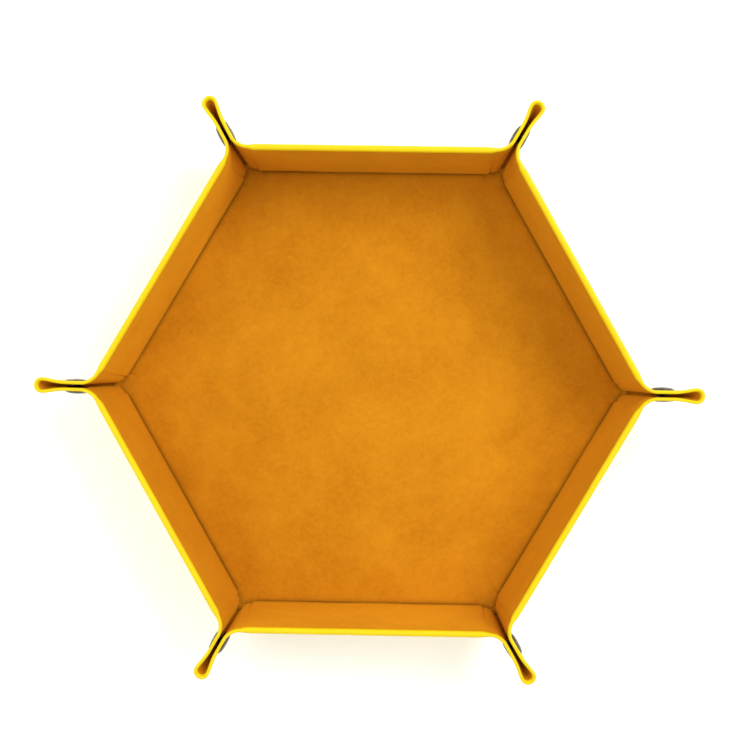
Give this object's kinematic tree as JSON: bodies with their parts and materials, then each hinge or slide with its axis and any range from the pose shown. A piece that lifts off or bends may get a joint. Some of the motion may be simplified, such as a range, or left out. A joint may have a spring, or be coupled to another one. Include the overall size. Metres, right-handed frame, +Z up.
{
  "type": "folding dice tray",
  "caption": "Hexagonal leather-covered, velvet-lined folding tray for rolling dice; the corners pinch into snapped ears and open to lie flat.",
  "frame": {"origin": "centre of the underside of the floor, on the surface the tray stands on", "axes": "+Z up; +X through the ear between wall 6 and wall 1, one of two ears on the X axis; wall k faces 60 k - 30 degrees from +X"},
  "size_m": [0.2402, 0.209, 0.0412],
  "materials": {
    "cover_leather": "satin fine-grained synthetic leather, bright yellow",
    "velvet_lining": "short-pile velvet, golden orange-brown",
    "greyboard": "raw greyboard, not seen from outside",
    "ear_laminate": "leather cover with velvet bonded to its inner face",
    "snap_metal": "polished black nickel"
  },
  "bodies": {
    "base": {"cover_base": "cover_leather", "board_base": "greyboard", "lining_base": "velvet_lining"},
    "wall_1": {"cover_wall_1": "cover_leather", "board_wall_1": "greyboard", "lining_wall_1": "velvet_lining"},
    "wall_2": {"cover_wall_2": "cover_leather", "board_wall_2": "greyboard", "lining_wall_2": "velvet_lining"},
    "wall_3": {"cover_wall_3": "cover_leather", "board_wall_3": "greyboard", "lining_wall_3": "velvet_lining"},
    "wall_4": {"cover_wall_4": "cover_leather", "board_wall_4": "greyboard", "lining_wall_4": "velvet_lining"},
    "wall_5": {"cover_wall_5": "cover_leather", "board_wall_5": "greyboard", "lining_wall_5": "velvet_lining"},
    "wall_6": {"cover_wall_6": "cover_leather", "board_wall_6": "greyboard", "lining_wall_6": "velvet_lining"},
    "ear_1a": {"ear_1a_panel": "ear_laminate", "snap_1_cap": "snap_metal"},
    "ear_1a_edge": {"ear_1a_edge": "ear_laminate"},
    "ear_1b": {"ear_1b_panel": "ear_laminate", "snap_1_stud": "snap_metal"},
    "ear_1b_edge": {"ear_1b_edge": "ear_laminate"},
    "ear_2a": {"ear_2a_panel": "ear_laminate", "snap_2_cap": "snap_metal"},
    "ear_2a_edge": {"ear_2a_edge": "ear_laminate"},
    "ear_2b": {"ear_2b_panel": "ear_laminate", "snap_2_stud": "snap_metal"},
    "ear_2b_edge": {"ear_2b_edge": "ear_laminate"},
    "ear_3a": {"ear_3a_panel": "ear_laminate", "snap_3_cap": "snap_metal"},
    "ear_3a_edge": {"ear_3a_edge": "ear_laminate"},
    "ear_3b": {"ear_3b_panel": "ear_laminate", "snap_3_stud": "snap_metal"},
    "ear_3b_edge": {"ear_3b_edge": "ear_laminate"},
    "ear_4a": {"ear_4a_panel": "ear_laminate", "snap_4_cap": "snap_metal"},
    "ear_4a_edge": {"ear_4a_edge": "ear_laminate"},
    "ear_4b": {"ear_4b_panel": "ear_laminate", "snap_4_stud": "snap_metal"},
    "ear_4b_edge": {"ear_4b_edge": "ear_laminate"},
    "ear_5a": {"ear_5a_panel": "ear_laminate", "snap_5_cap": "snap_metal"},
    "ear_5a_edge": {"ear_5a_edge": "ear_laminate"},
    "ear_5b": {"ear_5b_panel": "ear_laminate", "snap_5_stud": "snap_metal"},
    "ear_5b_edge": {"ear_5b_edge": "ear_laminate"},
    "ear_6a": {"ear_6a_panel": "ear_laminate", "snap_6_cap": "snap_metal"},
    "ear_6a_edge": {"ear_6a_edge": "ear_laminate"},
    "ear_6b": {"ear_6b_panel": "ear_laminate", "snap_6_stud": "snap_metal"},
    "ear_6b_edge": {"ear_6b_edge": "ear_laminate"}
  },
  "joints": [
    {"name": "fold_wall_1", "type": "hinge", "parent": "base", "child": "wall_1", "pos_m": [0.07079, 0.04087, 0.0012], "axis": [-0.5, 0.866, 0], "range_deg": [0, 83.5]},
    {"name": "fold_wall_2", "type": "hinge", "parent": "base", "child": "wall_2", "pos_m": [0, 0.08175, 0.0012], "axis": [-1, 0, 0], "range_deg": [0, 83.5]},
    {"name": "fold_wall_3", "type": "hinge", "parent": "base", "child": "wall_3", "pos_m": [-0.07079, 0.04087, 0.0012], "axis": [-0.5, -0.866, 0], "range_deg": [0, 83.5]},
    {"name": "fold_wall_4", "type": "hinge", "parent": "base", "child": "wall_4", "pos_m": [-0.07079, -0.04087, 0.0012], "axis": [0.5, -0.866, 0], "range_deg": [0, 83.5]},
    {"name": "fold_wall_5", "type": "hinge", "parent": "base", "child": "wall_5", "pos_m": [0, -0.08175, 0.0012], "axis": [1, 0, 0], "range_deg": [0, 83.5]},
    {"name": "fold_wall_6", "type": "hinge", "parent": "base", "child": "wall_6", "pos_m": [0.07079, -0.04087, 0.0012], "axis": [0.5, 0.866, 0], "range_deg": [0, 83.5]},
    {"name": "bend_ear_1a", "type": "hinge", "parent": "wall_1", "child": "ear_1a", "pos_m": [0.09596, 0.0018, 0.02103], "axis": [-0.1304, 0, -0.9915], "range_deg": [0, 60.26]},
    {"name": "crease_ear_1a", "type": "hinge", "parent": "ear_1a", "child": "ear_1a_edge", "pos_m": [0.10803, 0.00155, 0.02271], "axis": [0.5556, 0, 0.8314], "range_deg": [0, 90.05]},
    {"name": "bend_ear_1b", "type": "hinge", "parent": "wall_6", "child": "ear_1b", "pos_m": [0.09596, -0.0018, 0.02103], "axis": [0.1304, 0, 0.9915], "range_deg": [0, 60.26]},
    {"name": "crease_ear_1b", "type": "hinge", "parent": "ear_1b", "child": "ear_1b_edge", "pos_m": [0.10803, -0.00155, 0.02271], "axis": [-0.5556, 0, -0.8314], "range_deg": [0, 90.05]},
    {"name": "bend_ear_2a", "type": "hinge", "parent": "wall_2", "child": "ear_2a", "pos_m": [0.04642, 0.084, 0.02103], "axis": [-0.0652, -0.113, -0.9915], "range_deg": [0, 60.26]},
    {"name": "crease_ear_2a", "type": "hinge", "parent": "ear_2a", "child": "ear_2a_edge", "pos_m": [0.05267, 0.09433, 0.02271], "axis": [0.2778, 0.4812, 0.8314], "range_deg": [0, 90.05]},
    {"name": "bend_ear_2b", "type": "hinge", "parent": "wall_1", "child": "ear_2b", "pos_m": [0.04954, 0.0822, 0.02103], "axis": [0.0652, 0.113, 0.9915], "range_deg": [0, 60.26]},
    {"name": "crease_ear_2b", "type": "hinge", "parent": "ear_2b", "child": "ear_2b_edge", "pos_m": [0.05536, 0.09278, 0.02271], "axis": [-0.2778, -0.4812, -0.8314], "range_deg": [0, 90.05]},
    {"name": "bend_ear_3a", "type": "hinge", "parent": "wall_3", "child": "ear_3a", "pos_m": [-0.04954, 0.0822, 0.02103], "axis": [0.0652, -0.113, -0.9915], "range_deg": [0, 60.26]},
    {"name": "crease_ear_3a", "type": "hinge", "parent": "ear_3a", "child": "ear_3a_edge", "pos_m": [-0.05536, 0.09278, 0.02271], "axis": [-0.2778, 0.4812, 0.8314], "range_deg": [0, 90.05]},
    {"name": "bend_ear_3b", "type": "hinge", "parent": "wall_2", "child": "ear_3b", "pos_m": [-0.04642, 0.084, 0.02103], "axis": [-0.0652, 0.113, 0.9915], "range_deg": [0, 60.26]},
    {"name": "crease_ear_3b", "type": "hinge", "parent": "ear_3b", "child": "ear_3b_edge", "pos_m": [-0.05267, 0.09433, 0.02271], "axis": [0.2778, -0.4812, -0.8314], "range_deg": [0, 90.05]},
    {"name": "bend_ear_4a", "type": "hinge", "parent": "wall_4", "child": "ear_4a", "pos_m": [-0.09596, -0.0018, 0.02103], "axis": [0.1304, 0, -0.9915], "range_deg": [0, 60.26]},
    {"name": "crease_ear_4a", "type": "hinge", "parent": "ear_4a", "child": "ear_4a_edge", "pos_m": [-0.10803, -0.00155, 0.02271], "axis": [-0.5556, 0, 0.8314], "range_deg": [0, 90.05]},
    {"name": "bend_ear_4b", "type": "hinge", "parent": "wall_3", "child": "ear_4b", "pos_m": [-0.09596, 0.0018, 0.02103], "axis": [-0.1304, 0, 0.9915], "range_deg": [0, 60.26]},
    {"name": "crease_ear_4b", "type": "hinge", "parent": "ear_4b", "child": "ear_4b_edge", "pos_m": [-0.10803, 0.00155, 0.02271], "axis": [0.5556, 0, -0.8314], "range_deg": [0, 90.05]},
    {"name": "bend_ear_5a", "type": "hinge", "parent": "wall_5", "child": "ear_5a", "pos_m": [-0.04642, -0.084, 0.02103], "axis": [0.0652, 0.113, -0.9915], "range_deg": [0, 60.26]},
    {"name": "crease_ear_5a", "type": "hinge", "parent": "ear_5a", "child": "ear_5a_edge", "pos_m": [-0.05267, -0.09433, 0.02271], "axis": [-0.2778, -0.4812, 0.8314], "range_deg": [0, 90.05]},
    {"name": "bend_ear_5b", "type": "hinge", "parent": "wall_4", "child": "ear_5b", "pos_m": [-0.04954, -0.0822, 0.02103], "axis": [-0.0652, -0.113, 0.9915], "range_deg": [0, 60.26]},
    {"name": "crease_ear_5b", "type": "hinge", "parent": "ear_5b", "child": "ear_5b_edge", "pos_m": [-0.05536, -0.09278, 0.02271], "axis": [0.2778, 0.4812, -0.8314], "range_deg": [0, 90.05]},
    {"name": "bend_ear_6a", "type": "hinge", "parent": "wall_6", "child": "ear_6a", "pos_m": [0.04954, -0.0822, 0.02103], "axis": [-0.0652, 0.113, -0.9915], "range_deg": [0, 60.26]},
    {"name": "crease_ear_6a", "type": "hinge", "parent": "ear_6a", "child": "ear_6a_edge", "pos_m": [0.05536, -0.09278, 0.02271], "axis": [0.2778, -0.4812, 0.8314], "range_deg": [0, 90.05]},
    {"name": "bend_ear_6b", "type": "hinge", "parent": "wall_5", "child": "ear_6b", "pos_m": [0.04642, -0.084, 0.02103], "axis": [0.0652, -0.113, 0.9915], "range_deg": [0, 60.26]},
    {"name": "crease_ear_6b", "type": "hinge", "parent": "ear_6b", "child": "ear_6b_edge", "pos_m": [0.05267, -0.09433, 0.02271], "axis": [-0.2778, 0.4812, -0.8314], "range_deg": [0, 90.05]}
  ],
  "couplings": [
    {"joint": "fold_wall_2", "follows": "fold_wall_1", "ratio": 1},
    {"joint": "fold_wall_3", "follows": "fold_wall_1", "ratio": 1},
    {"joint": "fold_wall_4", "follows": "fold_wall_1", "ratio": 1},
    {"joint": "fold_wall_5", "follows": "fold_wall_1", "ratio": 1},
    {"joint": "fold_wall_6", "follows": "fold_wall_1", "ratio": 1},
    {"joint": "bend_ear_1a", "follows": "fold_wall_1", "ratio": 0.72111},
    {"joint": "crease_ear_1a", "follows": "fold_wall_1", "ratio": 1.0778},
    {"joint": "bend_ear_1b", "follows": "fold_wall_1", "ratio": 0.72111},
    {"joint": "crease_ear_1b", "follows": "fold_wall_1", "ratio": 1.0778},
    {"joint": "bend_ear_2a", "follows": "fold_wall_1", "ratio": 0.72111},
    {"joint": "crease_ear_2a", "follows": "fold_wall_1", "ratio": 1.0778},
    {"joint": "bend_ear_2b", "follows": "fold_wall_1", "ratio": 0.72111},
    {"joint": "crease_ear_2b", "follows": "fold_wall_1", "ratio": 1.0778},
    {"joint": "bend_ear_3a", "follows": "fold_wall_1", "ratio": 0.72111},
    {"joint": "crease_ear_3a", "follows": "fold_wall_1", "ratio": 1.0778},
    {"joint": "bend_ear_3b", "follows": "fold_wall_1", "ratio": 0.72111},
    {"joint": "crease_ear_3b", "follows": "fold_wall_1", "ratio": 1.0778},
    {"joint": "bend_ear_4a", "follows": "fold_wall_1", "ratio": 0.72111},
    {"joint": "crease_ear_4a", "follows": "fold_wall_1", "ratio": 1.0778},
    {"joint": "bend_ear_4b", "follows": "fold_wall_1", "ratio": 0.72111},
    {"joint": "crease_ear_4b", "follows": "fold_wall_1", "ratio": 1.0778},
    {"joint": "bend_ear_5a", "follows": "fold_wall_1", "ratio": 0.72111},
    {"joint": "crease_ear_5a", "follows": "fold_wall_1", "ratio": 1.0778},
    {"joint": "bend_ear_5b", "follows": "fold_wall_1", "ratio": 0.72111},
    {"joint": "crease_ear_5b", "follows": "fold_wall_1", "ratio": 1.0778},
    {"joint": "bend_ear_6a", "follows": "fold_wall_1", "ratio": 0.72111},
    {"joint": "crease_ear_6a", "follows": "fold_wall_1", "ratio": 1.0778},
    {"joint": "bend_ear_6b", "follows": "fold_wall_1", "ratio": 0.72111},
    {"joint": "crease_ear_6b", "follows": "fold_wall_1", "ratio": 1.0778}
  ]
}
